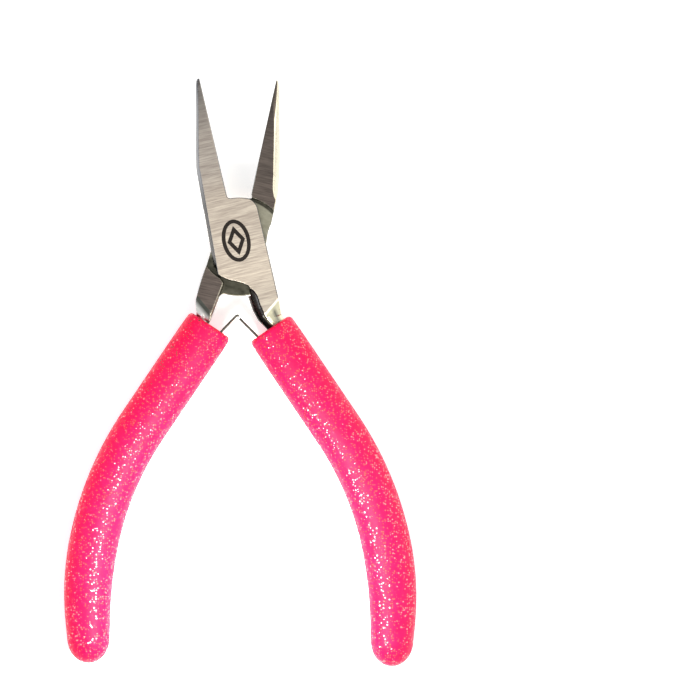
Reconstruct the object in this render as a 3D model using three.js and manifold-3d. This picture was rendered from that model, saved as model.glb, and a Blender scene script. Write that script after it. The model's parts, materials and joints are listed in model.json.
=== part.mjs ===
// Chain nose pliers for jewellery: a box joint, two leaf springs and dipped vinyl grips.
//
// Millimetres. The pivot's axis is +Z through the origin, the jaws point along +Y, and z = 0 is
// the back face of the head. Each half is drawn in its own closed position, with the jaws
// meeting on x = 0, and a group then turns it to the sprung-open rest position.

import * as THREE from 'three';
import { mergeVertices } from 'three/addons/utils/BufferGeometryUtils.js';
import Module from 'manifold-3d';

const wasm = await Module();
wasm.setup();

// ---- Driving dimensions -------------------------------------------------------------------

const HALF_OPEN = THREE.MathUtils.degToRad(13); // each half's turn from closed to rest

const HEAD = {
  thick: 5.6,
  cheek: 1.3, // each outer plate of the box
  sideGap: 0.06, // running clearance between the tongue and each plate
  flank: 5.8, // half width of the head
  cheekTop: 10.35, // radius of the plates' end towards the jaws
  cheekBottom: 8.0, // radius of the plates' end towards the handles
  slotTop: 11.0, // radii of the slot's two end walls
  slotBottom: 11.5,
};
const FLANK = {
  reach: 6.35, // the left flank's distance from the pivot at mid height
  bevel: 0.75, // how far its sloping edges cut into each face
  flat: 1.5, // half height of the upright band between them
  lean: THREE.MathUtils.degToRad(3),
};
const MID = HEAD.thick / 2;
const CLEAR = 40; // beyond everything a cutter has to reach

const TONGUE = {
  shoulderTop: 10.65, // where the tongue half is full thickness again, towards the jaw
  shoulderBottom: 8.4, // and towards the handle
  endTop: 10.4, // radii of the tongue's two ends inside the slot
  endBottom: 11.2,
};

const JAW = {
  tipRadius: 0.45,
  lean: THREE.MathUtils.degToRad(0.5), // the closing plane's lean to the left, towards the tips
  leanFrom: 11.2,
  relief: 0.2, // the jaws meet at their tips first
  touchGap: 0.04, // each jaw's distance from the closing plane at the tip
  taperStart: 16, // the flat faces slope in from here to the tip
  taperRound: 6, // length of the curve where the slope starts
  taperSlope: 0.098,
};

// Each jaw's length from the pivot, its cone's height over its width, and its own extra width.
const BOX_JAW = { tip: 37.7, squash: 1.0, swell: 1.04 };
const TONGUE_JAW = { tip: 37.2, squash: 0.79, swell: 1 };

const PIN = { radius: 2.3, boreGap: 0.05, seatGap: 0.02, sides: 48 };

const GRIP = {
  mouth: [2.34, -18.98], // where the grip's axis starts
  heading: THREE.MathUtils.degToRad(21), // the axis there, outwards from -Y
  endHeading: THREE.MathUtils.degToRad(-15), // and at the far end
  straight: 26.6,
  bendRadius: 71.2,
  length: 81.3,
  halfWidth: 5.45,
  halfDepth: 4.7,
  mouthWidth: 0.95, // the lip's size over the body's
  lip: 1.8, // depth of the rounded lip
  thinFrom: 55, // the body gets thinner from here to its end
  endWidth: 0.86, // the size before the rounded end, over the body's
  endRound: 5.5,
  nudge: 0.45, // one grip is pushed on this much further than the other
  relief: 0.15, // the soft wall's distance from the closing plane, squeezed there
  boreGap: 0.1,
  pocketGap: 0.25, // around the leaf and its rivet
  swing: 1.6, // the pocket is this much wider at the mouth, where the leaf moves
  overrun: 2, // bore and pocket are cut from this far outside the mouth
  flare: 0.4, // the bore's extra width there
  sides: 28,
};

const TANG = { length: 70, endRadius: 1.5, neckLength: 14 };

const LEAF = {
  thick: 0.5,
  width: 4.6,
  offset: 2.5, // from the grip's axis to the leaf, on the inner side
  hinge: 5, // depth in the grip where the free arm starts to bend
  foot: 15, // depth of the fixed foot's end
  gap: 0.3,
};
const RIVET = {
  depth: 11,
  radius: 0.8,
  headRadius: 1.4,
  headHeight: 0.6,
  reach: 1.4, // length of the shank past the leaf
  spare: 0.4, // the hole's depth past the shank
  gap: 0.05,
  sides: 16,
};

// ---- Solids -------------------------------------------------------------------------------

function toSolid(geometry) {
  const plain = geometry.clone();
  plain.deleteAttribute('normal');
  plain.deleteAttribute('uv');
  const merged = mergeVertices(plain, 1e-5);
  const mesh = new wasm.Mesh({
    numProp: 3,
    vertProperties: new Float32Array(merged.attributes.position.array),
    triVerts: new Uint32Array(merged.index.array),
  });
  return new wasm.Manifold(mesh);
}

function toGeometry(solid) {
  const mesh = solid.getMesh();
  const geometry = new THREE.BufferGeometry();
  geometry.setAttribute('position', new THREE.BufferAttribute(mesh.vertProperties, 3));
  geometry.setIndex(new THREE.BufferAttribute(mesh.triVerts, 1));
  return geometry;
}

/** A plate with the outline of shape, between two heights. */
function plate(shape, low, high, curveSegments = 24) {
  const geometry = new THREE.ExtrudeGeometry(shape, {
    depth: high - low,
    bevelEnabled: false,
    curveSegments,
  });
  geometry.translate(0, 0, low);
  return toSolid(geometry);
}

/** A box given by its size and a matrix that places its centre. */
function box(size, matrix) {
  const geometry = new THREE.BoxGeometry(...size);
  geometry.applyMatrix4(matrix);
  return toSolid(geometry);
}

function polygon(points) {
  return new THREE.Shape(points.map(([x, y]) => new THREE.Vector2(x, y)));
}

/** A closed tube through stations { x, y, heading, a, b }: a across the plane, b along Z. */
function loft(stations, sides) {
  const positions = [];
  for (const { x, y, heading, a, b } of stations) {
    for (let i = 0; i < sides; i += 1) {
      const angle = (2 * Math.PI * i) / sides;
      const across = a * Math.cos(angle);
      positions.push(
        x + across * Math.cos(heading),
        y + across * Math.sin(heading),
        MID + b * Math.sin(angle),
      );
    }
  }
  const index = [];
  for (let ring = 0; ring < stations.length - 1; ring += 1) {
    for (let i = 0; i < sides; i += 1) {
      const here = ring * sides + i;
      const next = ring * sides + ((i + 1) % sides);
      index.push(here, next, here + sides);
      index.push(next, next + sides, here + sides);
    }
  }
  const last = (stations.length - 1) * sides;
  for (let i = 1; i < sides - 1; i += 1) {
    index.push(0, i + 1, i);
    index.push(last, last + i, last + i + 1);
  }
  const geometry = new THREE.BufferGeometry();
  geometry.setAttribute('position', new THREE.Float32BufferAttribute(positions, 3));
  geometry.setIndex(index);
  return toSolid(geometry);
}

/** A round bar from depth to depth along a line in the head's mid-plane. */
function bar(from, to, radius, sides = 20) {
  const along = new THREE.Vector3(to[0] - from[0], to[1] - from[1], 0);
  const geometry = new THREE.CylinderGeometry(radius, radius, along.length(), sides);
  const turn = new THREE.Quaternion().setFromUnitVectors(
    new THREE.Vector3(0, 1, 0),
    along.clone().normalize(),
  );
  geometry.applyQuaternion(turn);
  geometry.translate((from[0] + to[0]) / 2, (from[1] + to[1]) / 2, MID);
  return toSolid(geometry);
}

function upright(radius, low, high) {
  const geometry = new THREE.CylinderGeometry(radius, radius, high - low, PIN.sides);
  geometry.rotateX(Math.PI / 2);
  geometry.translate(0, 0, (low + high) / 2);
  return toSolid(geometry);
}

// ---- Jaws ---------------------------------------------------------------------------------

/** The ground cone of one jaw, which flares out where it runs into the head's flank. */
function jawCone({ tip, squash, swell }) {
  const profile = [
    [0, tip],
    [JAW.tipRadius, tip],
    [0.78, tip - 0.5],
    [1.12, tip - 1.6],
    [2.45, 30],
    [4.32, 22.2],
    [5.0, 19],
    [5.45, 16.6],
    [5.65, 15],
    [5.92, 13.4],
    [6.4, 12],
    [7.2, 10.9],
    [8.4, 10.2],
    [10, 9.9],
    [10, 8],
    [0, 8],
  ];
  const points = profile.map(([r, y]) => new THREE.Vector2(r * swell, y)).reverse();
  const geometry = new THREE.LatheGeometry(points, 72);
  geometry.scale(1, 1, squash);
  geometry.rotateZ(JAW.lean);
  geometry.translate(0, 0, MID);
  return toSolid(geometry);
}

/** How far the closing plane has leant at a distance from the pivot. */
function leant(y) {
  return -Math.max(0, y - JAW.leanFrom) * Math.tan(JAW.lean);
}

/** Half the thickness between a jaw's two flat faces at a distance from the pivot. */
function jawHalfThick(y) {
  const past = y - JAW.taperStart;
  if (past <= 0) return MID;
  if (past < JAW.taperRound) return MID - (JAW.taperSlope * past * past) / (2 * JAW.taperRound);
  return MID - JAW.taperSlope * (past - JAW.taperRound / 2);
}

/** Everything between the two sloping faces of the jaws. */
function jawWedge() {
  const top = [[-CLEAR, jawHalfThick(0)]];
  for (let y = JAW.taperStart; y <= JAW.taperStart + JAW.taperRound; y += 1) {
    top.push([y, jawHalfThick(y)]);
  }
  top.push([CLEAR, jawHalfThick(CLEAR)]);
  const bottom = top.map(([y, z]) => [y, -z]).reverse();
  const geometry = new THREE.ExtrudeGeometry(polygon([...top, ...bottom]), {
    depth: CLEAR,
    bevelEnabled: false,
  });
  // The outline is drawn in (y, z) and the extrusion then runs along x.
  const turn = new THREE.Matrix4().makeBasis(
    new THREE.Vector3(0, 1, 0),
    new THREE.Vector3(0, 0, 1),
    new THREE.Vector3(1, 0, 0),
  );
  geometry.applyMatrix4(turn);
  geometry.translate(-CLEAR / 2, 0, MID);
  return toSolid(geometry);
}

// The cone shapes the jaws only; below it the head keeps its full width.
const CONE_FOOT = 9;
const BELOW_JAWS = box(
  [CLEAR, CLEAR + CONE_FOOT, CLEAR],
  new THREE.Matrix4().makeTranslation(0, (CONE_FOOT - CLEAR) / 2, MID),
);

function jawEnvelope(jaw) {
  return jawCone(jaw).add(BELOW_JAWS).intersect(jawWedge());
}

// ---- Grip axis, shared by tang, leaf and grip -----------------------------------------------

/** The grip's axis at a depth from its mouth; negative depths run up towards the head. */
function gripAxis(depth, nudge) {
  const { heading, straight, bendRadius, endHeading } = GRIP;
  const startX = GRIP.mouth[0] - nudge * Math.sin(heading);
  const startY = GRIP.mouth[1] + nudge * Math.cos(heading);
  const onStraight = Math.min(depth, straight);
  const x = startX + onStraight * Math.sin(heading);
  const y = startY - onStraight * Math.cos(heading);
  if (depth <= straight) return { x, y, heading };
  const bend = Math.min((depth - straight) / bendRadius, heading - endHeading);
  const turned = heading - bend;
  const bent = {
    x: x + bendRadius * (Math.cos(turned) - Math.cos(heading)),
    y: y + bendRadius * (Math.sin(turned) - Math.sin(heading)),
  };
  const rest = depth - straight - bend * bendRadius;
  return {
    x: bent.x + rest * Math.sin(turned),
    y: bent.y - rest * Math.cos(turned),
    heading: turned,
  };
}

/** A point beside the grip's axis; inward offsets point to the closing plane. */
function beside(depth, inward, nudge) {
  const { x, y, heading } = gripAxis(depth, nudge);
  return [x - inward * Math.cos(heading), y - inward * Math.sin(heading)];
}

// ---- Tangs --------------------------------------------------------------------------------

/** Stations of the rod inside a grip, grown by a gap when it is the grip's own bore. */
function tangStations(neck, nudge, gap) {
  const stations = [];
  const steps = 9;
  for (let step = 0; step <= steps; step += 1) {
    const share = step / steps;
    const depth = (TANG.length + gap) * share;
    const { heading } = gripAxis(depth, nudge);
    const settle = Math.max(0, 1 - depth / TANG.neckLength);
    const inward = neck.inward * settle * settle;
    const [x, y] = beside(depth, inward, nudge);
    const a = THREE.MathUtils.lerp(neck.a, TANG.endRadius, share);
    const b = THREE.MathUtils.lerp(neck.b, TANG.endRadius, share);
    stations.push({ x, y, heading, a: a + gap, b: b + gap });
  }
  return stations;
}

const BEVEL_TILT = THREE.MathUtils.degToRad(15);

/** A slanting cut that grinds the flat of the head down to the neck, on both faces. */
function neckBevels(point, direction) {
  const cuts = [];
  for (const face of [1, -1]) {
    const across = Math.atan2(direction[1], direction[0]);
    const matrix = new THREE.Matrix4().makeTranslation(point[0], point[1], MID + face * MID);
    matrix.multiply(new THREE.Matrix4().makeRotationZ(across));
    matrix.multiply(new THREE.Matrix4().makeRotationY(face * BEVEL_TILT));
    matrix.multiply(new THREE.Matrix4().makeTranslation(CLEAR / 2, 0, (face * CLEAR) / 2));
    cuts.push(box([CLEAR, CLEAR, CLEAR], matrix));
  }
  return cuts[0].add(cuts[1]);
}

/** A 45 degree cut along the edge from one point to another, on both faces. */
function edgeChamfer(from, to, width) {
  const dx = to[0] - from[0];
  const dy = to[1] - from[1];
  const length = Math.hypot(dx, dy);
  const cuts = [];
  for (const face of [1, -1]) {
    const matrix = new THREE.Matrix4().makeTranslation(
      (from[0] + to[0]) / 2,
      (from[1] + to[1]) / 2,
      MID + face * MID,
    );
    matrix.multiply(new THREE.Matrix4().makeRotationZ(Math.atan2(dy, dx)));
    matrix.multiply(new THREE.Matrix4().makeRotationX(Math.PI / 4));
    cuts.push(box([length, width * Math.SQRT2, width * Math.SQRT2], matrix));
  }
  return cuts[0].add(cuts[1]);
}

// ---- Box half: left jaw, the two plates of the box, right tang --------------------------------

const TANG_SIDES = 24;
const EDGE_BREAK = 0.35; // width of the broken edge along the tongue half's neck
const BOX_NECK = { inward: -1.55, a: 2.2, b: 2.3 };
const BOX_NUDGE = -GRIP.nudge;
const TONGUE_NECK = { inward: -2.0, a: 1.75, b: 2.25 };
const TONGUE_NUDGE = GRIP.nudge;

function boxHalfOutline() {
  const r = HEAD.cheekTop;
  const shape = new THREE.Shape();
  shape.moveTo(leant(CLEAR) - JAW.touchGap, CLEAR);
  shape.lineTo(-JAW.relief, JAW.leanFrom);
  shape.quadraticCurveTo(-JAW.relief, r, 0.9, Math.sqrt(r * r - 0.81));
  shape.absarc(0, 0, r, Math.acos(0.9 / r), Math.acos(4.5 / r), true);
  shape.quadraticCurveTo(5.5, 8.7, HEAD.flank, 7.2);
  shape.lineTo(HEAD.flank, -14);
  shape.lineTo(5.6, -17);
  shape.lineTo(2.4, -17.6);
  shape.lineTo(2.0, -16.1);
  shape.lineTo(1.5, -13.4);
  shape.quadraticCurveTo(1.5, -11.3, 0.6, -10.3);
  shape.quadraticCurveTo(0.05, -9.7, -0.1, -9.1);
  shape.quadraticCurveTo(-0.9, -8.55, -2.6, -7.57);
  shape.absarc(0, 0, HEAD.cheekBottom, Math.atan2(-7.57, -2.6), Math.atan2(-5.4, -5.9), true);
  shape.lineTo(-6.1, -3.9);
  shape.lineTo(-6.6, -3.4);
  shape.lineTo(-6.6, 11);
  shape.lineTo(-6.6, CLEAR);
  return shape;
}

/** The left flank of the box half, bevelled along both faces and leaning a little inwards. */
function flankEnvelope() {
  const { reach, bevel, flat, lean } = FLANK;
  const section = polygon([
    [-reach, -flat],
    [-reach + bevel, -MID],
    [CLEAR, -MID],
    [CLEAR, MID],
    [-reach + bevel, MID],
    [-reach, flat],
  ]);
  const geometry = new THREE.ExtrudeGeometry(section, { depth: 2 * CLEAR, bevelEnabled: false });
  geometry.rotateX(Math.PI / 2);
  geometry.translate(0, CLEAR, 0);
  geometry.rotateZ(-lean);
  geometry.translate(0, 0, MID);
  return toSolid(geometry);
}

/** The part of the slot that the tongue fills: a disc with a different radius at each end. */
function slotShape() {
  const shape = new THREE.Shape();
  shape.absarc(0, 0, HEAD.slotTop, 0, Math.PI, false);
  shape.absarc(0, 0, HEAD.slotBottom, Math.PI, 2 * Math.PI, false);
  return shape;
}

/** The blind hole in a tang for the spring rivet's shank. */
function tangHole(nudge) {
  const bottom = LEAF.offset - LEAF.thick / 2 - RIVET.reach - RIVET.spare;
  const from = beside(RIVET.depth, LEAF.offset, nudge);
  const to = beside(RIVET.depth, bottom, nudge);
  return bar(from, to, RIVET.radius + RIVET.gap, RIVET.sides);
}

function makeBoxHalf() {
  const flat = plate(boxHalfOutline(), 0, HEAD.thick, 28).intersect(jawEnvelope(BOX_JAW));
  const ground = flat
    .intersect(flankEnvelope())
    .subtract(neckBevels([3.6, -14.9], [0.6, -0.8]));
  const tang = loft([
    { x: 2.9, y: -9.0, heading: 0, a: 2.8, b: MID - 0.05 },
    { x: 2.5, y: -10.4, heading: 0, a: 3.25, b: MID - 0.05 },
    { x: 2.6, y: -12.4, heading: 0, a: 3.15, b: MID - 0.05 },
    { x: 2.68, y: -14.6, heading: 0.08, a: 3.0, b: 2.75 },
    { x: 2.9, y: -16.6, heading: 0.2, a: 2.62, b: 2.55 },
    ...tangStations(BOX_NECK, BOX_NUDGE, 0),
  ], TANG_SIDES);
  const slot = plate(slotShape(), HEAD.cheek, HEAD.thick - HEAD.cheek, 64);
  return ground
    .add(tang)
    .subtract(slot)
    .subtract(upright(PIN.radius + PIN.seatGap, -1, HEAD.thick + 1))
    .subtract(tangHole(BOX_NUDGE));
}

// ---- Tongue half: right jaw, the tongue in the slot, left tang ---------------------------------

function tongueHalfOutline() {
  const r = TONGUE.endTop;
  const shape = new THREE.Shape();
  shape.moveTo(leant(CLEAR) + JAW.touchGap, CLEAR);
  shape.lineTo(HEAD.flank, CLEAR);
  shape.lineTo(HEAD.flank, 6);
  shape.quadraticCurveTo(5.35, 4.6, 5.7, 2);
  shape.lineTo(5.75, -9.3);
  const corner = Math.atan2(-9.3, 5.75);
  shape.absarc(0, 0, TONGUE.endBottom, corner, Math.atan2(-11.18, -0.6), true);
  shape.quadraticCurveTo(-1.55, -11.3, -1.7, -12.4);
  shape.lineTo(-2.45, -18);
  shape.lineTo(-5.4, -17);
  shape.quadraticCurveTo(-6.5, -15.4, -6.5, -13.6);
  shape.quadraticCurveTo(-6.4, -9, -5.95, -6.2);
  shape.lineTo(-5.7, -2.7);
  shape.lineTo(-5.75, Math.sqrt(r * r - 5.75 * 5.75));
  shape.absarc(0, 0, r, Math.acos(-5.75 / r), Math.acos(-0.2 / r), true);
  shape.lineTo(0.5, TONGUE.shoulderTop);
  shape.lineTo(JAW.relief, JAW.leanFrom + 0.2);
  return shape;
}

/** What is ground away on each face so that the tongue fits between the plates. */
function recessShape() {
  const low = TONGUE.shoulderBottom;
  const shape = new THREE.Shape();
  shape.moveTo(9, 0);
  shape.absarc(0, 0, TONGUE.shoulderTop, 0, Math.PI, false);
  shape.absarc(0, 0, low, Math.PI, Math.atan2(-8.05, -2.4), false);
  shape.lineTo(-1.25, -9.2);
  shape.lineTo(-1.7, -12.5);
  shape.lineTo(12, -12.5);
  shape.lineTo(12, 0);
  return shape;
}

function makeTongueHalf() {
  const flat = plate(tongueHalfOutline(), 0, HEAD.thick, 28).intersect(jawEnvelope(TONGUE_JAW));
  const ground = flat.subtract(neckBevels([-4.25, -14.5], [-0.61, -0.79]));
  const tang = loft([
    { x: 4.1, y: -11.5, heading: 0, a: 2.1, b: MID - 0.1 },
    { x: 4.25, y: -14.4, heading: 0.1, a: 2.15, b: 2.7 },
    { x: 4.15, y: -16.3, heading: 0.25, a: 1.9, b: 2.45 },
    ...tangStations(TONGUE_NECK, TONGUE_NUDGE, 0),
  ], TANG_SIDES).mirror([1, 0, 0]);
  const layer = HEAD.cheek + HEAD.sideGap;
  const front = plate(recessShape(), HEAD.thick - layer, HEAD.thick + 1, 48);
  const back = plate(recessShape(), -1, layer, 48);
  const hole = tangHole(TONGUE_NUDGE).mirror([1, 0, 0]);
  return ground
    .add(tang)
    .subtract(front)
    .subtract(back)
    .subtract(edgeChamfer([-1.2, -8.9], [-2.6, -18.7], EDGE_BREAK))
    .subtract(upright(PIN.radius + PIN.boreGap, -1, HEAD.thick + 1))
    .subtract(hole);
}

// ---- Leaf springs and their rivets, drawn for the right side ------------------------------

/** A flat strip that follows points in the plane, as wide as the leaf along Z. */
function strip(points, thick, width) {
  const left = [];
  const right = [];
  points.forEach(([x, y], i) => {
    const before = points[Math.max(i - 1, 0)];
    const after = points[Math.min(i + 1, points.length - 1)];
    const dx = after[0] - before[0];
    const dy = after[1] - before[1];
    const length = Math.hypot(dx, dy);
    left.push([x - (dy / length) * (thick / 2), y + (dx / length) * (thick / 2)]);
    right.push([x + (dy / length) * (thick / 2), y - (dx / length) * (thick / 2)]);
  });
  return plate(polygon([...left, ...right.reverse()]), MID - width / 2, MID + width / 2);
}

/** The free arm, from its bend in the grip to the tip that bears on the other leaf. */
function leafArm({ mouthOffset, tip }, nudge) {
  return strip([
    beside(LEAF.hinge - LEAF.gap / 2, LEAF.offset, nudge),
    beside(0, mouthOffset, nudge),
    ...tip,
  ], LEAF.thick, LEAF.width);
}

function leafFoot(nudge) {
  const foot = strip([
    beside(LEAF.hinge + LEAF.gap / 2, LEAF.offset, nudge),
    beside(LEAF.foot, LEAF.offset, nudge),
  ], LEAF.thick, LEAF.width);
  const from = beside(RIVET.depth, LEAF.offset - 1, nudge);
  const to = beside(RIVET.depth, LEAF.offset + 1, nudge);
  return foot.subtract(bar(from, to, RIVET.radius + RIVET.gap, RIVET.sides));
}

function springRivet(nudge) {
  const under = LEAF.offset + LEAF.thick / 2 + RIVET.gap;
  const head = bar(
    beside(RIVET.depth, under, nudge),
    beside(RIVET.depth, under + RIVET.headHeight, nudge),
    RIVET.headRadius,
  );
  const shank = bar(
    beside(RIVET.depth, LEAF.offset - LEAF.thick / 2 - RIVET.reach, nudge),
    beside(RIVET.depth, under + 0.1, nudge),
    RIVET.radius,
    RIVET.sides,
  );
  return head.add(shank);
}

// ---- Grips, drawn for the right side ------------------------------------------------------

function gripStations(nudge) {
  const stations = [];
  const add = (depth, scale) => {
    const { x, y, heading } = gripAxis(depth, nudge);
    stations.push({ x, y, heading, a: GRIP.halfWidth * scale, b: GRIP.halfDepth * scale });
  };
  add(0, GRIP.mouthWidth);
  add(GRIP.lip, 1);
  const bodyEnd = GRIP.length - GRIP.endRound;
  const steps = 16;
  for (let step = 1; step <= steps; step += 1) {
    const depth = THREE.MathUtils.lerp(GRIP.lip, bodyEnd, step / steps);
    const thin = Math.max(0, (depth - GRIP.thinFrom) / (bodyEnd - GRIP.thinFrom));
    add(depth, 1 - (1 - GRIP.endWidth) * thin * thin);
  }
  for (const angle of [25, 45, 62, 76]) {
    const turn = THREE.MathUtils.degToRad(angle);
    add(bodyEnd + GRIP.endRound * Math.sin(turn), GRIP.endWidth * Math.cos(turn));
  }
  add(GRIP.length, 0.05);
  return stations;
}

/** The room for the leaf: wide near the mouth, where the arm swings, and snug on the foot. */
function leafPocket(nudge) {
  const reach = LEAF.offset + LEAF.thick / 2 + GRIP.pocketGap;
  const bottom = LEAF.foot + GRIP.pocketGap;
  const swing = polygon([
    beside(-GRIP.overrun, reach + GRIP.swing, nudge),
    beside(LEAF.hinge, reach, nudge),
    beside(bottom, reach, nudge),
    beside(bottom, 0, nudge),
    beside(-GRIP.overrun, 0, nudge),
  ]);
  const half = LEAF.width / 2 + GRIP.pocketGap;
  const room = plate(swing, MID - half, MID + half);
  const rivetRoom = bar(
    beside(RIVET.depth, LEAF.offset - 1, nudge),
    beside(RIVET.depth, reach + RIVET.headHeight, nudge),
    RIVET.headRadius + GRIP.pocketGap,
    RIVET.sides,
  );
  return room.add(rivetRoom);
}

function makeGrip(neck, nudge) {
  const [x, y] = beside(-GRIP.overrun, neck.inward, nudge);
  const flared = { x, y, heading: GRIP.heading, a: neck.a + GRIP.flare, b: neck.b + GRIP.flare };
  const bore = loft([flared, ...tangStations(neck, nudge, GRIP.boreGap)], TANG_SIDES);
  const squeezed = box(
    [CLEAR, 2 * CLEAR, CLEAR],
    new THREE.Matrix4().makeTranslation(GRIP.relief - CLEAR / 2, -CLEAR / 2, MID),
  );
  return loft(gripStations(nudge), GRIP.sides)
    .subtract(bore)
    .subtract(leafPocket(nudge))
    .subtract(squeezed);
}

// ---- Assembly ---------------------------------------------------------------------------------

const steel = { color: 0xbdb5aa, roughness: 0.34, metalness: 1 };
const darkSteel = { color: 0x8d8780, roughness: 0.38, metalness: 1 };
const springSteel = { color: 0x6f6a62, roughness: 0.35, metalness: 1 };
const vinyl = { color: 0xff2f78, roughness: 0.28, metalness: 0 };

function named(name, solid, look) {
  const mesh = new THREE.Mesh(toGeometry(solid), new THREE.MeshStandardMaterial(look));
  mesh.name = name;
  return mesh;
}

const LEFT_LEAF = { mouthOffset: 2.75, tip: [[-2.95, -15.3], [-3.5, -15.1]] };
const RIGHT_LEAF = { mouthOffset: 3.2, tip: [[-3.5, -15.8]] };

const boxSide = new THREE.Group();
boxSide.rotation.z = HALF_OPEN;
boxSide.add(
  named('box_half', makeBoxHalf(), steel),
  named('pivot_pin', upright(PIN.radius, 0, HEAD.thick), steel),
  named('leaf_spring_right', leafArm(RIGHT_LEAF, BOX_NUDGE), springSteel),
  named('leaf_foot_right', leafFoot(BOX_NUDGE), springSteel),
  named('spring_rivet_right', springRivet(BOX_NUDGE), springSteel),
  named('grip_right', makeGrip(BOX_NECK, BOX_NUDGE), vinyl),
);

const mirrored = (solid) => solid.mirror([1, 0, 0]);
const tongueSide = new THREE.Group();
tongueSide.rotation.z = -HALF_OPEN;
tongueSide.add(
  named('tongue_half', makeTongueHalf(), darkSteel),
  named('leaf_spring_left', mirrored(leafArm(LEFT_LEAF, TONGUE_NUDGE)), springSteel),
  named('leaf_foot_left', mirrored(leafFoot(TONGUE_NUDGE)), springSteel),
  named('spring_rivet_left', mirrored(springRivet(TONGUE_NUDGE)), springSteel),
  named('grip_left', mirrored(makeGrip(TONGUE_NECK, TONGUE_NUDGE)), vinyl),
);

const pliers = new THREE.Group();
pliers.add(boxSide, tongueSide);
export default pliers;
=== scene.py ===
"""Chain nose jewellery pliers with a box joint, leaf springs and glittery dipped grips.

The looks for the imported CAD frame. Metres, in the frame's own axes: the pivot is on +Z through
the origin, the jaws point along +Y, and the pliers lie on a pale floor, seen from above.
"""
import json
import math

import bmesh
import bpy
from mathutils import Matrix, Vector


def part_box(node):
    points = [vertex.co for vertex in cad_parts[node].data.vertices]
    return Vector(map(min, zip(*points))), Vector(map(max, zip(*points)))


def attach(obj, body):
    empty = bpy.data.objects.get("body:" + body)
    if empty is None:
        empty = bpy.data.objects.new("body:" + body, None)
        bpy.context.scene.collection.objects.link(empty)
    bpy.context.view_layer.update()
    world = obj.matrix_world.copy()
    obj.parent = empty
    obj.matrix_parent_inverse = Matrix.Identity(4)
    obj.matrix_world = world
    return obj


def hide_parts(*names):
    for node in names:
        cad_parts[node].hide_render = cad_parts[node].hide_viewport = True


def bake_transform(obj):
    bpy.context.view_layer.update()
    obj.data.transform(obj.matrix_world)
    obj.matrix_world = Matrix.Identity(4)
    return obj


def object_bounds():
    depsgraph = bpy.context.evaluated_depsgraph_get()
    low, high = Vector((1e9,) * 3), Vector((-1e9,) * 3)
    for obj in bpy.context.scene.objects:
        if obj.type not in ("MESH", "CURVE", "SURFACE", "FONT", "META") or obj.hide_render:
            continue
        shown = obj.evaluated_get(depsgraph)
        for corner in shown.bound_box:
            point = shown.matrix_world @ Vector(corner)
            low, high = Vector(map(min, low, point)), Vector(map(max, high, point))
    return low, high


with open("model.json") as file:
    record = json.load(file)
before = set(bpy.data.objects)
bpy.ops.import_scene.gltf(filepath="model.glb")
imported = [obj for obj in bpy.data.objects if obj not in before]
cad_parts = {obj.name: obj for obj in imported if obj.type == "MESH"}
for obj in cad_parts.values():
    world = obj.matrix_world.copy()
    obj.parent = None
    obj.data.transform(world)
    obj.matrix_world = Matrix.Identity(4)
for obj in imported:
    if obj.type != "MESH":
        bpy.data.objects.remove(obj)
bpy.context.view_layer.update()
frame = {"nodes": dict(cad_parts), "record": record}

MM = 0.001

# ---- Driving dimensions, in millimetres as in the CAD source -----------------------------------

JOINTS = {joint["name"]: joint for joint in frame["record"]["behaviour"]["joints"]}
HALF_OPEN = math.radians(JOINTS["jaw_pivot"]["range_deg"][1] / 2)
HEAD_LOW, HEAD_HIGH = (corner[2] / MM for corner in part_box("box_half"))
MID = (HEAD_LOW + HEAD_HIGH) / 2
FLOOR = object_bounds()[0][2]

GRIP_MOUTH = (2.34, -18.98)
GRIP_HEADING = math.radians(21)
GRIP_END_HEADING = math.radians(-15)
GRIP_STRAIGHT = 26.6
GRIP_BEND = 71.2
GRIP_LENGTH = 81.3
GRIP_HALF_WIDTH = 5.45
GRIP_HALF_DEPTH = 4.7
GRIP_END_SCALE = 0.86
GRIP_END_ROUND = 5.5
GRIP_THIN_FROM = 55
GRIP_LIP = 0.9
GRIP_SETTLE = 0.035
NUDGE = 0.45

BORE_REACH = 70
BORE_END_RADIUS = 1.5
BORE_GAP = 0.12
POCKET_GAP = 0.3

LEAF_OFFSET = 2.5
LEAF_THICK = 0.5
LEAF_WIDTH = 4.6
LEAF_HINGE = 5.0
LEAF_FOOT = 15.0

# Right is the box half's side and left the tongue half's. A side's own frame is the half in its
# closed position, drawn to the right of the closing plane.
RIGHT = {
    "name": "right", "sign": 1, "body": "box_body", "arm": "leaf_right_arm", "nudge": -NUDGE,
    "neck_inward": -1.55, "neck": (2.2, 2.3), "leaf_mouth": 3.2, "leaf_tip": [(-3.5, -15.8)],
}
LEFT = {
    "name": "left", "sign": -1, "body": "tongue_body", "arm": "leaf_left_arm", "nudge": NUDGE,
    "neck_inward": -2.0, "neck": (1.75, 2.25), "leaf_mouth": 2.75,
    "leaf_tip": [(-2.95, -15.3), (-3.5, -15.1)],
}
SIDES = (RIGHT, LEFT)


def at_rest(side, x, y, z=MID):
    """A point of a half's closed frame, in metres in the row frame at rest."""
    turn = side["sign"] * HALF_OPEN
    x = x * side["sign"]
    return Vector((
        (x * math.cos(turn) - y * math.sin(turn)) * MM,
        (x * math.sin(turn) + y * math.cos(turn)) * MM,
        z * MM,
    ))


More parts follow.
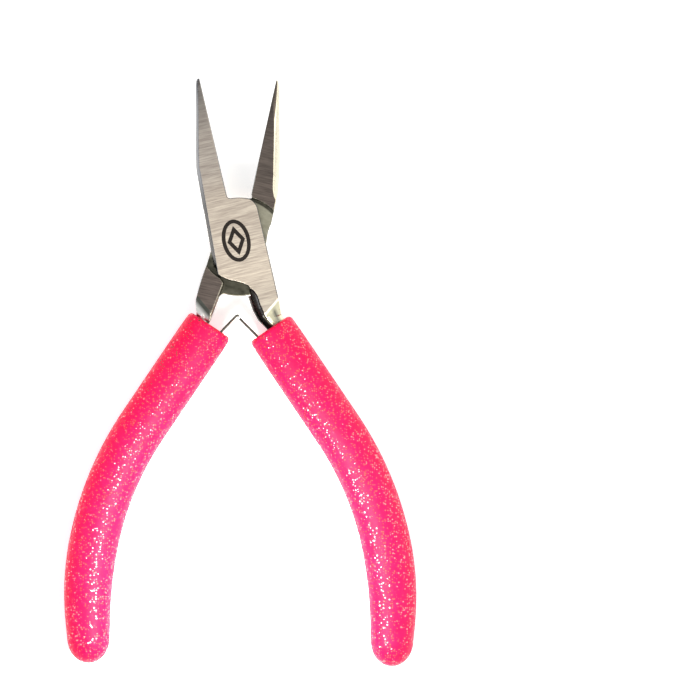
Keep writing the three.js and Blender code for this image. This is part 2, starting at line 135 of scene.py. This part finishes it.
def grip_axis(depth, nudge):
    """The grip's axis at a depth from its mouth: x, y and heading in the half's closed frame."""
    start_x = GRIP_MOUTH[0] - nudge * math.sin(GRIP_HEADING)
    start_y = GRIP_MOUTH[1] + nudge * math.cos(GRIP_HEADING)
    on_straight = min(depth, GRIP_STRAIGHT)
    x = start_x + on_straight * math.sin(GRIP_HEADING)
    y = start_y - on_straight * math.cos(GRIP_HEADING)
    if depth <= GRIP_STRAIGHT:
        return x, y, GRIP_HEADING
    bend = min((depth - GRIP_STRAIGHT) / GRIP_BEND, GRIP_HEADING - GRIP_END_HEADING)
    turned = GRIP_HEADING - bend
    x += GRIP_BEND * (math.cos(turned) - math.cos(GRIP_HEADING))
    y += GRIP_BEND * (math.sin(turned) - math.sin(GRIP_HEADING))
    rest = depth - GRIP_STRAIGHT - bend * GRIP_BEND
    return x + rest * math.sin(turned), y - rest * math.cos(turned), turned


def beside(depth, inward, nudge):
    x, y, heading = grip_axis(depth, nudge)
    return x - inward * math.cos(heading), y - inward * math.sin(heading)


# ---- Mesh helpers ------------------------------------------------------------------------------


def add_object(name, bm, smooth=True):
    bmesh.ops.recalc_face_normals(bm, faces=bm.faces)
    mesh = bpy.data.meshes.new(name)
    bm.to_mesh(mesh)
    bm.free()
    if smooth:
        mesh.shade_smooth()
    obj = bpy.data.objects.new(name, mesh)
    bpy.context.scene.collection.objects.link(obj)
    return obj


def apply_modifiers(obj):
    depsgraph = bpy.context.evaluated_depsgraph_get()
    mesh = bpy.data.meshes.new_from_object(obj.evaluated_get(depsgraph))
    obj.modifiers.clear()
    obj.data = mesh
    return obj


def cut(obj, cutter):
    boolean = obj.modifiers.new("cut", "BOOLEAN")
    boolean.operation = "DIFFERENCE"
    boolean.solver = "EXACT"
    boolean.object = cutter
    apply_modifiers(obj)
    bpy.data.objects.remove(cutter)
    return obj


def loft(bm, side, stations, sides):
    """A closed tube through stations (x, y, heading, across, along Z) of a half's closed frame."""
    rings = []
    for x, y, heading, a, b in stations:
        ring = []
        for i in range(sides):
            angle = 2 * math.pi * i / sides
            across = a * math.cos(angle)
            place = at_rest(
                side, x + across * math.cos(heading), y + across * math.sin(heading),
                MID + b * math.sin(angle),
            )
            ring.append(bm.verts.new(place))
        rings.append(ring)
    for low, high in zip(rings, rings[1:]):
        for i in range(sides):
            j = (i + 1) % sides
            bm.faces.new((low[i], low[j], high[j], high[i]))
    bm.faces.new(rings[0])
    bm.faces.new(rings[-1])


def prism(bm, side, outline, low, high):
    """A block with an outline in a half's closed frame, between two heights."""
    bottom = [bm.verts.new(at_rest(side, x, y, low)) for x, y in outline]
    top = [bm.verts.new(at_rest(side, x, y, high)) for x, y in outline]
    count = len(outline)
    for i in range(count):
        j = (i + 1) % count
        bm.faces.new((bottom[i], bottom[j], top[j], top[i]))
    bm.faces.new(bottom)
    bm.faces.new(top)


# ---- Materials ---------------------------------------------------------------------------------


TIP_PAINTED_SHADE = (0.50, 0.52, 0.545)  # painted shade, darker and greyer towards the jaws' tips


class Graph:
    """A material's node tree, with short ways to add the nodes used here."""

    def __init__(self, name):
        self.material = bpy.data.materials.new(name)
        self.material.use_nodes = True
        self.nodes = self.material.node_tree.nodes
        self.links = self.material.node_tree.links
        self.shader = self.nodes["Principled BSDF"]

    def feed(self, socket, value):
        """Links a node's output to a socket, or sets the socket to a number or colour."""
        if isinstance(value, bpy.types.NodeSocket):
            self.links.new(value, socket)
        elif isinstance(value, tuple) and len(socket.default_value) == 4:
            socket.default_value = (*value, 1)
        else:
            socket.default_value = value

    def set(self, name, value):
        self.feed(self.shader.inputs[name], value)

    def math(self, operation, a, b=0.0):
        node = self.nodes.new("ShaderNodeMath")
        node.operation = operation
        self.feed(node.inputs[0], a)
        self.feed(node.inputs[1], b)
        return node.outputs["Value"]

    def vector(self, operation, a, b=(0.0, 0.0, 0.0)):
        node = self.nodes.new("ShaderNodeVectorMath")
        node.operation = operation
        self.feed(node.inputs[0], a)
        self.feed(node.inputs["Scale" if operation == "SCALE" else 1], b)
        return node.outputs["Vector"]

    def span(self, value, low, high, to_low=0.0, to_high=1.0):
        """Maps the range low to high onto to_low to to_high, and clamps it."""
        node = self.nodes.new("ShaderNodeMapRange")
        self.feed(node.inputs["Value"], value)
        node.inputs["From Min"].default_value = low
        node.inputs["From Max"].default_value = high
        node.inputs["To Min"].default_value = to_low
        node.inputs["To Max"].default_value = to_high
        return node.outputs["Result"]

    def mix(self, factor, a, b, blend="MIX"):
        node = self.nodes.new("ShaderNodeMix")
        node.data_type = "RGBA"
        node.blend_type = blend
        colours = [socket for socket in node.inputs if socket.type == "RGBA"]
        self.feed(node.inputs[0], factor)
        self.feed(colours[0], a)
        self.feed(colours[1], b)
        return next(socket for socket in node.outputs if socket.type == "RGBA")

    def split(self, vector):
        node = self.nodes.new("ShaderNodeSeparateXYZ")
        self.links.new(vector, node.inputs["Vector"])
        return node.outputs["X"], node.outputs["Y"], node.outputs["Z"]

    def combine(self, x, y, across, along, offset):
        """across * x + along * y + offset."""
        both = self.math("ADD", self.math("MULTIPLY", x, across), self.math("MULTIPLY", y, along))
        return self.math("ADD", both, offset)

    def past_line(self, x, y, point, normal):
        """How far (x, y) lies past the line through a point, along the line's normal."""
        offset = -(normal[0] * point[0] + normal[1] * point[1])
        return self.combine(x, y, normal[0], normal[1], offset)

    def coordinates(self, name="Object"):
        return self.nodes.new("ShaderNodeTexCoord").outputs[name]

    def flatness(self):
        """1 where the surface faces straight up or down, and 0 where it is upright."""
        _, _, normal_z = self.split(self.coordinates("Normal"))
        return self.math("ABSOLUTE", normal_z)

    def millimetres(self, turn=0.0):
        """Object coordinates in millimetres, turned about Z into a half's own frame."""
        node = self.nodes.new("ShaderNodeMapping")
        self.links.new(self.coordinates(), node.inputs["Vector"])
        node.inputs["Rotation"].default_value = (0, 0, turn)
        node.inputs["Scale"].default_value = (1 / MM, 1 / MM, 1 / MM)
        return node.outputs["Vector"]

    def noise(self, vector, stretch, detail=3.0, roughness=0.5):
        place = self.nodes.new("ShaderNodeMapping")
        self.links.new(vector, place.inputs["Vector"])
        place.inputs["Scale"].default_value = stretch
        node = self.nodes.new("ShaderNodeTexNoise")
        self.links.new(place.outputs["Vector"], node.inputs["Vector"])
        node.inputs["Scale"].default_value = 1.0
        node.inputs["Detail"].default_value = detail
        node.inputs["Roughness"].default_value = roughness
        return node.outputs["Fac"]

    def bump(self, height, strength, distance):
        node = self.nodes.new("ShaderNodeBump")
        node.inputs["Strength"].default_value = strength
        node.inputs["Distance"].default_value = distance
        self.links.new(height, node.inputs["Height"])
        self.set("Normal", node.outputs["Normal"])


def brushed_steel(name, sign, face, side, shank, contrast):
    """Steel with flat faces brushed across the half, and smoother ground sides.

    face and side are their colours, and shank tints the faces beyond the joint.
    """
    graph = Graph(name)
    place = graph.millimetres(-sign * HALF_OPEN)
    grain = graph.noise(place, (0.2, 3.4, 3.0), 4.0, 0.65)
    clouds = graph.noise(place, (0.10, 0.7, 0.6), 3.0)
    tone = graph.span(graph.combine(grain, clouds, 0.75, 0.25, 0.0), 0.36, 0.64)

    # Towards the tips the flat faces run out into the round flanks.
    _, along, _ = graph.split(place)
    run_out = graph.span(along, 18.0, 32.0, 0.0, 0.16)
    is_face = graph.span(graph.math("ADD", graph.flatness(), run_out), 0.955, 0.985)
    shades = []
    for colour, spread in ((face, contrast), (side, contrast * 0.45)):
        dark = tuple(c * (1 - spread) for c in colour)
        light = tuple(min(1.0, c * (1 + spread)) for c in colour)
        shades.append(graph.mix(tone, dark, light))
    shaded = graph.mix(graph.span(along, 11.0, 17.0), shades[0], shank, "MULTIPLY")
    # Painted shade: beyond the joint the faces turn darker and greyer towards the tips.
    shaded = graph.mix(graph.span(along, 24.0, 34.0), shaded, TIP_PAINTED_SHADE, "MULTIPLY")
    colour = graph.mix(is_face, shades[1], shaded)
    rough = graph.span(is_face, 0, 1, 0.24, 0.36)
    graph.set("Roughness", graph.combine(rough, tone, 1.0, 0.08, 0.0))
    graph.set("Metallic", 1.0)
    graph.bump(grain, 0.12, 0.02 * MM)
    return graph, place, colour


def plate_steel():
    """Box half: pale brushed plates, a painted-shade inner neck and a painted-light ground bevel.
    """
    # Painted shade: the box half's sides get a dark blue grey, for the dark left of the studio
    # they face.
    graph, place, colour = brushed_steel(
        "plate_steel", 1, (0.85, 0.71, 0.60), (0.215, 0.22, 0.235), (0.81, 0.82, 0.85), 0.26
    )
    x, y, _ = graph.split(place)
    sloping = graph.span(graph.flatness(), 0.90, 0.96, 1.0, 0.0)
    # Painted shade: the sloping flanks of the head and neck are darkened further.
    painted_flank_shade = graph.math("MULTIPLY", sloping, graph.span(y, 10.0, 17.0, 1.0, 0.0))
    colour = graph.mix(painted_flank_shade, colour, (0.45, 0.44, 0.42), "MULTIPLY")
    heel = graph.span(y, -15.0, -7.0, 1.0, 0.0)
    colour = graph.mix(heel, colour, (0.71, 0.725, 0.74), "MULTIPLY")
    # Painted highlight and painted reflection on the ground bevel: a near-white line just past its
    # edge, then cream for the warm light it faces.
    past_bevel = graph.past_line(x, y, (3.6, -14.9), (0.6, -0.8))
    painted_bevel_light = graph.mix(graph.span(past_bevel, 0.3, 0.6), (1.0, 1.0, 0.92), (0.60, 0.585, 0.45))
    # Painted reflection: a soft dark streak across the neck, past the bevel's edge.
    painted_streak_offset = graph.math("ABSOLUTE", graph.past_line(x, y, (4.18, -15.2), (1.0, 0.191)))
    painted_dark_streak = graph.math(
        "MULTIPLY", graph.span(painted_streak_offset, 0.05, 0.75, 1.0, 0.0), graph.span(past_bevel, 0.4, 1.4)
    )
    painted_bevel_light = graph.mix(painted_dark_streak, painted_bevel_light, (0.17, 0.17, 0.15))
    colour = graph.mix(graph.span(past_bevel, -0.05, 0.1), colour, painted_bevel_light)
    # Painted shade: the inner walls below the joint, down to the plate's lower edge, are nearly
    # black.
    low = graph.span(y, -6.5, -5.0, 1.0, 0.0)
    inner = graph.span(graph.past_line(x, y, (0.0, 0.0), (1.0, 0.21)), -0.55, -0.15, 1.0, 0.0)
    shaded = graph.math("MULTIPLY", graph.math("MULTIPLY", low, inner), sloping)
    graph.set("Base Color", graph.mix(shaded, colour, (0.050, 0.045, 0.042)))
    return graph.material


RECESS_REACH = 12.2  # from the pivot, past the ends of the recess beside the plates


def forged_steel():
    """The tongue half: dark painted-shade faces, and darker steel in the recess by the plates."""
    # Painted shade and painted light: dark faces for their darker reflection, and cream sides for
    # the warm right-hand light they face.
    graph, place, colour = brushed_steel(
        "forged_steel", -1, (0.205, 0.168, 0.146), (0.62, 0.59, 0.485), (0.90, 0.91, 0.92), 0.30
    )
    x, y, z = graph.split(graph.millimetres())
    height = graph.math("ABSOLUTE", graph.math("SUBTRACT", z, MID))
    squares = [graph.math("MULTIPLY", v, v) for v in (x, y)]
    radius = graph.math("SQRT", graph.math("ADD", *squares))
    below = graph.span(height, MID - 0.25, MID - 0.12, 1.0, 0.0)  # sunk below the faces
    near = graph.math("LESS_THAN", radius, RECESS_REACH)
    normal_x, _, _ = graph.split(graph.coordinates("Normal"))
    flatness = graph.flatness()
    sloping = graph.span(flatness, 0.93, 0.955, 1.0, 0.0)
    # Sides facing left are mid grey, so the painted cream light stays on those facing right.
    inner = graph.math("MULTIPLY", sloping, graph.span(normal_x, -0.35, 0.1, 1.0, 0.0))
    colour = graph.mix(inner, colour, (0.235, 0.23, 0.215))
    upper = graph.math("MULTIPLY", graph.math("GREATER_THAN", y, 0.0), 2.0)
    past_wall = graph.math("SUBTRACT", radius, upper)
    wall = graph.math("MULTIPLY", sloping, graph.span(past_wall, 8.7, 9.6, 1.0, 0.0))
    recessed = graph.math("MAXIMUM", wall, graph.math("MULTIPLY", below, near))
    stain = graph.noise(place, (0.5, 0.9, 0.5), 4.0, 0.6)
    floor = graph.mix(graph.span(stain, 0.35, 0.65), (0.40, 0.385, 0.29), (0.55, 0.53, 0.42))
    dark = graph.mix(graph.span(stain, 0.3, 0.7), (0.055, 0.054, 0.040), (0.14, 0.135, 0.105))
    by_wall = graph.span(radius, 9.75, 10.05)
    lower = graph.span(y, -3.0, -1.0, 1.0, 0.0)
    darkness = graph.math("MAXIMUM", wall, graph.math("MAXIMUM", by_wall, lower))
    # Painted reflection on the neck's bevel: a dark band just past its edge, for the dark left of
    # the studio it faces, then a light grey neck.
    across, along, _ = graph.split(place)
    past_bevel = graph.past_line(across, along, (-4.25, -14.5), (-0.61, -0.79))
    outside = graph.span(across, -3.0, -2.6, 1.0, 0.0)
    painted_bevel_light = graph.math("MULTIPLY", graph.span(past_bevel, -0.05, 0.1), outside)
    painted_bevel_light = graph.math("MULTIPLY", painted_bevel_light, graph.span(flatness, 0.2, 0.5))
    scale = graph.mix(graph.span(past_bevel, 0.75, 1.7), (0.085, 0.09, 0.08), (0.66, 0.66, 0.65))
    heel = graph.span(along, -10.0, -6.0, 1.0, 0.0)
    colour = graph.mix(heel, colour, (0.72, 0.72, 0.75), "MULTIPLY")
    colour = graph.mix(painted_bevel_light, colour, scale)
    graph.set("Base Color", graph.mix(recessed, colour, graph.mix(darkness, floor, dark)))
    return graph.material


def spring_steel():
    graph = Graph("spring_steel")
    grain = graph.noise(graph.millimetres(), (3.0, 3.0, 14.0))
    tone = graph.span(grain, 0.3, 0.7)
    graph.set("Base Color", graph.mix(tone, (0.060, 0.055, 0.048), (0.20, 0.185, 0.16)))
    graph.set("Metallic", 1.0)
    graph.set("Roughness", 0.28)
    return graph.material


def rivet_steel():
    graph = Graph("rivet_steel")
    speckle = graph.noise(graph.millimetres(), (4.0, 4.0, 4.0), 2.0)
    tone = graph.span(speckle, 0.35, 0.65)
    graph.set("Base Color", graph.mix(tone, (0.40, 0.38, 0.36), (0.55, 0.53, 0.50)))
    graph.set("Metallic", 1.0)
    graph.set("Roughness", 0.35)
    return graph.material


def etched_black():
    graph = Graph("etched_black")
    speckle = graph.noise(graph.millimetres(), (7.0, 7.0, 7.0))
    tone = graph.span(speckle, 0.35, 0.7)
    graph.set("Base Color", graph.mix(tone, (0.010, 0.008, 0.007), (0.028, 0.022, 0.019)))
    graph.set("Roughness", 0.75)
    graph.set("Specular IOR Level", 0.2)
    return graph.material


def glitter_vinyl():
    """Hot pink vinyl, with metal flakes that each lie at their own small tilt."""
    graph = Graph("glitter_vinyl")
    place = graph.millimetres()
    cells = graph.nodes.new("ShaderNodeTexVoronoi")
    cells.inputs["Scale"].default_value = 2.1
    graph.links.new(place, cells.inputs["Vector"])
    pick = graph.nodes.new("ShaderNodeSeparateColor")
    graph.links.new(cells.outputs["Color"], pick.inputs["Color"])
    size = graph.span(pick.outputs["Green"], 0.0, 1.0, 0.20, 0.50)
    small = graph.math("LESS_THAN", cells.outputs["Distance"], size)
    flake = graph.math("MULTIPLY", small, graph.math("GREATER_THAN", pick.outputs["Red"], 0.32))

    clouds = graph.noise(place, (0.25, 0.25, 0.25))
    vinyl = graph.mix(graph.span(clouds, 0.3, 0.7), (1.0, 0.002, 0.072), (1.0, 0.005, 0.085))
    graph.set("Base Color", graph.mix(flake, vinyl, (1.0, 0.155, 0.17)))
    graph.set("Metallic", graph.math("MULTIPLY", flake, 0.75))
    graph.set("Roughness", graph.span(flake, 0, 1, 0.50, 0.20))

    centred = graph.vector("SUBTRACT", cells.outputs["Color"], (0.5, 0.5, 0.5))
    tilt = graph.vector("SCALE", centred, graph.math("MULTIPLY", flake, 0.58))
    normal = graph.nodes.new("ShaderNodeNewGeometry").outputs["Normal"]
    graph.set("Normal", graph.vector("NORMALIZE", graph.vector("ADD", normal, tilt)))

    graph.set("Specular IOR Level", 0.17)
    graph.set("Subsurface Weight", 0.2)
    graph.set("Subsurface Radius", (1.6 * MM, 0.5 * MM, 0.7 * MM))
    graph.set("Subsurface Scale", 1.0)
    graph.set("Sheen Weight", 0.03)
    graph.set("Sheen Roughness", 0.45)
    graph.set("Sheen Tint", (1.0, 0.65, 0.72))
    return graph.material


PLATE_STEEL = plate_steel()
TONGUE_STEEL = forged_steel()
SPRING_STEEL = spring_steel()
RIVET_STEEL = rivet_steel()
ETCHED_BLACK = etched_black()
GLITTER_VINYL = glitter_vinyl()


def dress(obj, material):
    obj.data.materials.clear()
    obj.data.materials.append(material)


# ---- Steel halves ------------------------------------------------------------------------------

HIDDEN_BELOW = -26.5  # the tangs go on below this height, inside the grips
VOXEL = 0.11


def half_mesh(nodes):
    bm = bmesh.new()
    for node in nodes:
        bm.from_mesh(frame["nodes"][node].data)
    bmesh.ops.scale(bm, vec=(1 / MM,) * 3, verts=bm.verts)
    bmesh.ops.remove_doubles(bm, verts=bm.verts, dist=1e-4)
    return bm


def keep_side(bm, above):
    """Cuts the mesh at HIDDEN_BELOW, keeps one side and closes it."""
    cut_edges = bmesh.ops.bisect_plane(
        bm, geom=bm.verts[:] + bm.edges[:] + bm.faces[:], dist=1e-5,
        plane_co=(0, HIDDEN_BELOW, 0), plane_no=(0, 1, 0),
        clear_inner=above, clear_outer=not above,
    )["geom_cut"]
    edges = [e for e in cut_edges if isinstance(e, bmesh.types.BMEdge)]
    bmesh.ops.holes_fill(bm, edges=edges)


def softened_half(name, nodes):
    """A half's head, jaw and neck with worn edges, and its plain tang inside the grip."""
    head = half_mesh(nodes)
    keep_side(head, above=True)
    exact = add_object(f"{name}_exact", head.copy())
    obj = add_object(name, head)
    remesh = obj.modifiers.new("skin", "REMESH")
    remesh.mode = "VOXEL"
    remesh.voxel_size = VOXEL
    settle = obj.modifiers.new("settle", "SHRINKWRAP")
    settle.target = exact
    soften = obj.modifiers.new("soften", "SMOOTH")
    soften.factor = 0.5
    soften.iterations = 3
    apply_modifiers(obj)
    bpy.data.objects.remove(exact)
    tang = half_mesh(nodes[:1])
    keep_side(tang, above=False)
    whole = bmesh.new()
    whole.from_mesh(obj.data)
    tang_mesh = bpy.data.meshes.new("tang")
    tang.to_mesh(tang_mesh)
    tang.free()
    whole.from_mesh(tang_mesh)
    bpy.data.meshes.remove(tang_mesh)
    bmesh.ops.scale(whole, vec=(MM,) * 3, verts=whole.verts)
    whole.to_mesh(obj.data)
    whole.free()
    obj.data.shade_smooth()
    return obj


def make_halves():
    box_half = softened_half("box_half_steel", ["box_half", "pivot_pin"])
    dress(box_half, PLATE_STEEL)
    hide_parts("box_half", "pivot_pin")
    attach(box_half, "box_body")
    tongue_half = softened_half("tongue_half_steel", ["tongue_half"])
    dress(tongue_half, TONGUE_STEEL)
    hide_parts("tongue_half")
    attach(tongue_half, "tongue_body")


# ---- Etched mark: an oval ring around a rhombus ------------------------------------------------

MARK_CENTRE = (-0.35, 1.0)
MARK_LINE = 0.85


def make_mark():
    curve = bpy.data.curves.new("mark_outline", "CURVE")
    curve.dimensions = "2D"
    curve.fill_mode = "BOTH"
    curve.extrude = 0.012 * MM

    def outline(width, height, corners):
        spline = curve.splines.new("POLY")
        spline.points.add(corners - 1)
        for i, point in enumerate(spline.points):
            angle = 2 * math.pi * i / corners
            x = MARK_CENTRE[0] + width * math.cos(angle)
            place = at_rest(RIGHT, x, MARK_CENTRE[1] + height * math.sin(angle))
            point.co = (place.x, place.y, 0, 1)
        spline.use_cyclic_u = True

    outline(3.1, 4.7, 96)
    outline(3.1 - MARK_LINE, 4.7 - MARK_LINE, 96)
    outline(2.0, 3.3, 4)
    outline(2.0 - MARK_LINE * 1.15, 3.3 - MARK_LINE * 1.9, 4)
    drawn = bpy.data.objects.new("mark_outline", curve)
    bpy.context.scene.collection.objects.link(drawn)
    depsgraph = bpy.context.evaluated_depsgraph_get()
    mark = bpy.data.objects.new(
        "face_mark", bpy.data.meshes.new_from_object(drawn.evaluated_get(depsgraph))
    )
    bpy.data.objects.remove(drawn)
    mark.location.z = (HEAD_HIGH + 0.002) * MM
    bpy.context.scene.collection.objects.link(mark)
    mark.data.materials.append(ETCHED_BLACK)
    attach(mark, "box_body")


# ---- Leaf springs ------------------------------------------------------------------------------


def leaf_path(side):
    """The strip's middle line from the foot inside the grip to its tip, rounded at the knee."""
    nudge = side["nudge"]
    corners = [
        beside(LEAF_FOOT, LEAF_OFFSET, nudge),
        beside(LEAF_HINGE, LEAF_OFFSET, nudge),
        beside(0.35, side["leaf_mouth"] - 0.02, nudge),
        *side["leaf_tip"],
    ]
    path = []
    for i, corner in enumerate(corners):
        here = Vector(corner)
        if i in (0, len(corners) - 1):
            path.append(here)
            continue
        before = Vector(corners[i - 1]) - here
        after = Vector(corners[i + 1]) - here
        reach = min(0.9, 0.45 * before.length, 0.45 * after.length)
        start = here + before.normalized() * reach
        end = here + after.normalized() * reach
        for step in range(5):
            t = step / 4
            path.append(start * (1 - t) ** 2 + here * 2 * t * (1 - t) + end * t * t)
    dense = [path[0]]
    for a, b in zip(path, path[1:]):
        pieces = max(1, round((b - a).length / 0.5))
        dense.extend(a.lerp(b, (k + 1) / pieces) for k in range(pieces))
    return dense


def make_leaf(side):
    path = leaf_path(side)
    bm = bmesh.new()
    rings = []
    half_width = LEAF_WIDTH / 2
    for i, point in enumerate(path):
        along = (path[min(i + 1, len(path) - 1)] - path[max(i - 1, 0)]).normalized()
        across = Vector((-along.y, along.x)) * (LEAF_THICK / 2)
        ring = []
        for offset, height in ((1, -1), (1, 1), (-1, 1), (-1, -1)):
            spot = point + across * offset
            ring.append(bm.verts.new(at_rest(side, spot.x, spot.y, MID + height * half_width)))
        rings.append(ring)
    for low, high in zip(rings, rings[1:]):
        for i in range(4):
            j = (i + 1) % 4
            bm.faces.new((low[i], low[j], high[j], high[i]))
    bm.faces.new(rings[0])
    bm.faces.new(rings[-1])
    leaf = add_object(f"leaf_{side['name']}_strip", bm)
    bevel = leaf.modifiers.new("edges", "BEVEL")
    bevel.width = 0.07 * MM
    bevel.segments = 3
    bevel.angle_limit = math.radians(50)
    apply_modifiers(leaf)
    leaf.data.shade_smooth()
    dress(leaf, SPRING_STEEL)
    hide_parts(f"leaf_spring_{side['name']}", f"leaf_foot_{side['name']}")
    at_rest(side, *beside(LEAF_HINGE + 2.5, LEAF_OFFSET, side["nudge"]))
    at_rest(side, *beside(LEAF_HINGE - 2.5, LEAF_OFFSET, side["nudge"]))
    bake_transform(leaf)


# ---- Grips -------------------------------------------------------------------------------------


def grip_scale(depth):
    """The grip's size over its body's at a depth from the mouth, lips and end included."""
    body_end = GRIP_LENGTH - GRIP_END_ROUND
    thin = max(0.0, (depth - GRIP_THIN_FROM) / (body_end - GRIP_THIN_FROM))
    size = 1 - (1 - GRIP_END_SCALE) * min(thin, 1.0) ** 2
    if depth > body_end:
        size *= math.sqrt(max(0.0, 1 - ((depth - body_end) / GRIP_END_ROUND) ** 2))
    return size - GRIP_SETTLE * math.exp(-depth / 2.2)


def make_grip(side):
    nudge = side["nudge"]
    body_end = GRIP_LENGTH - GRIP_END_ROUND
    quarter = [math.pi / 2 * step / 16 for step in range(16)]
    stations = [
        (GRIP_LIP * (1 - math.cos(turn)), GRIP_LIP * (1 - math.sin(turn))) for turn in quarter
    ]
    stations += [(GRIP_LIP + (body_end - GRIP_LIP) * i / 110, 0.0) for i in range(111)]
    stations += [(body_end + GRIP_END_ROUND * math.sin(turn), 0.0) for turn in quarter[1:]]
    rings = []
    for depth, inset in stations:
        size = grip_scale(depth)
        across = GRIP_HALF_WIDTH * size - inset
        rings.append((*grip_axis(depth, nudge), across, GRIP_HALF_DEPTH * size - inset))
    bm = bmesh.new()
    loft(bm, side, rings, 72)
    grip = add_object(f"grip_{side['name']}_vinyl", bm)

    bore = bmesh.new()
    bore_rings = []
    for depth in (-2, 0, 3, 6, 10, 14, 20, 30, 40, 50, 60, BORE_REACH + 0.1):
        heading = grip_axis(depth, nudge)[2]
        centring = max(0.0, 1 - max(depth, 0) / 14) ** 2
        x, y = beside(depth, side["neck_inward"] * centring, nudge)
        share = max(0.0, depth / BORE_REACH)
        a, b = (
            start * (1 - share) + BORE_END_RADIUS * share + BORE_GAP for start in side["neck"]
        )
        bore_rings.append((x, y, heading, a, b))
    loft(bore, side, bore_rings, 40)
    cut(grip, add_object("bore", bore))
    pocket = bmesh.new()
    reach = LEAF_OFFSET + LEAF_THICK / 2 + POCKET_GAP
    prism(pocket, side, [
        beside(-2, reach + 1.1, nudge), beside(LEAF_HINGE + 2, reach, nudge),
        beside(LEAF_FOOT + 0.5, reach, nudge), beside(LEAF_FOOT + 0.5, 0, nudge),
        beside(-2, 0.2, nudge),
    ], MID - LEAF_WIDTH / 2 - POCKET_GAP, MID + LEAF_WIDTH / 2 + POCKET_GAP)
    cut(grip, add_object("pocket", pocket))
    rivet_room = bmesh.new()
    loft(rivet_room, side, [
        (*beside(depth, LEAF_OFFSET, nudge), GRIP_HEADING, 2.1, 1.7) for depth in (9.3, 12.7)
    ], 24)
    cut(grip, add_object("rivet_room", rivet_room))

    dress(grip, GLITTER_VINYL)
    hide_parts(f"grip_{side['name']}")
    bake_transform(grip)


# ---- Camera, light and floor -------------------------------------------------------------------

VIEW_WIDTH = 154 * MM
VIEW_CENTRE = (24.4 * MM, -23.1 * MM)
CAMERA_HEIGHT = 1.1


def add_area(name, place, target, size, power, colour=(1, 1, 1)):
    """A rectangular light that the camera doesn't see; size is (width, length)."""
    light = bpy.data.lights.new(name, "AREA")
    light.energy = power
    light.color = colour
    light.shape = "RECTANGLE"
    light.size, light.size_y = size
    obj = bpy.data.objects.new(name, light)
    obj.location = place
    direction = Vector(target) - Vector(place)
    obj.rotation_euler = direction.to_track_quat("-Z", "Y").to_euler()
    obj.visible_camera = False
    bpy.context.scene.collection.objects.link(obj)


def make_floor():
    bm = bmesh.new()
    bmesh.ops.create_grid(bm, x_segments=1, y_segments=1, size=3.0)
    floor = add_object("floor", bm, smooth=False)
    floor.location = (0, 0, FLOOR)
    graph = Graph("floor_white")
    graph.set("Base Color", (0.93, 0.93, 0.93))
    graph.set("Roughness", 0.9)
    graph.set("Specular IOR Level", 0.1)
    graph.set("Emission Color", (1.0, 1.0, 1.0))
    graph.set("Emission Strength", 0.6)
    floor.data.materials.append(graph.material)


# Brightness across the studio, from the far left at 0 to the far right at 1.
STUDIO = [
    (0.0, (0.10, 0.11, 0.13)), (0.25, (0.22, 0.235, 0.26)), (0.45, (0.58, 0.585, 0.59)),
    (0.55, (0.64, 0.64, 0.635)), (0.75, (0.90, 0.88, 0.81)), (0.94, (1.0, 0.97, 0.88)),
    (0.975, (0.12, 0.12, 0.11)), (1.0, (0.10, 0.10, 0.09)),
]


def make_world():
    """A studio that is dark on the left and bright and warm on the right."""
    world = bpy.context.scene.world or bpy.data.worlds.new("studio")
    bpy.context.scene.world = world
    world.use_nodes = True
    nodes, links = world.node_tree.nodes, world.node_tree.links
    coords = nodes.new("ShaderNodeTexCoord")
    split = nodes.new("ShaderNodeSeparateXYZ")
    links.new(coords.outputs["Generated"], split.inputs["Vector"])
    across = nodes.new("ShaderNodeMapRange")
    across.inputs["From Min"].default_value = -1.0
    links.new(split.outputs["X"], across.inputs["Value"])
    ramp = nodes.new("ShaderNodeValToRGB")
    elements = ramp.color_ramp.elements
    for element, (position, colour) in zip(elements, (STUDIO[0], STUDIO[-1])):
        element.position = position
        element.color = (*colour, 1)
    for position, colour in STUDIO[1:-1]:
        elements.new(position).color = (*colour, 1)
    links.new(across.outputs["Result"], ramp.inputs["Fac"])
    links.new(ramp.outputs["Color"], nodes["Background"].inputs["Color"])
    nodes["Background"].inputs["Strength"].default_value = 1.0


def make_stage():
    make_floor()
    make_world()
    add_area("right", (0.50, 0.05, 0.22), (0, 0, 0), (0.35, 0.35), 1.0, (1, 0.95, 0.86))
    add_area("left", (-0.45, -0.05, 0.40), (0, -0.03, 0), (0.35, 0.35), 0.8)
    add_area("strip", (0, -0.080, 0.062), (0, -0.080, 0), (0.034, 0.066), 0.16, (1, 0.95, 0.84))

    camera = bpy.data.cameras.new("camera")
    camera.sensor_width = 36
    camera.lens = 36 * (CAMERA_HEIGHT - MID * MM) / VIEW_WIDTH
    camera.clip_end = 10
    eye = bpy.data.objects.new("camera", camera)
    eye.location = (*VIEW_CENTRE, CAMERA_HEIGHT)
    bpy.context.scene.collection.objects.link(eye)
    bpy.context.scene.camera = eye
    bpy.context.scene.view_settings.view_transform = "Standard"


make_stage()
make_halves()
make_mark()
for one_side in SIDES:
    make_leaf(one_side)
    make_grip(one_side)
for rivet in ("spring_rivet_left", "spring_rivet_right"):
    dress(frame["nodes"][rivet], RIVET_STEEL)
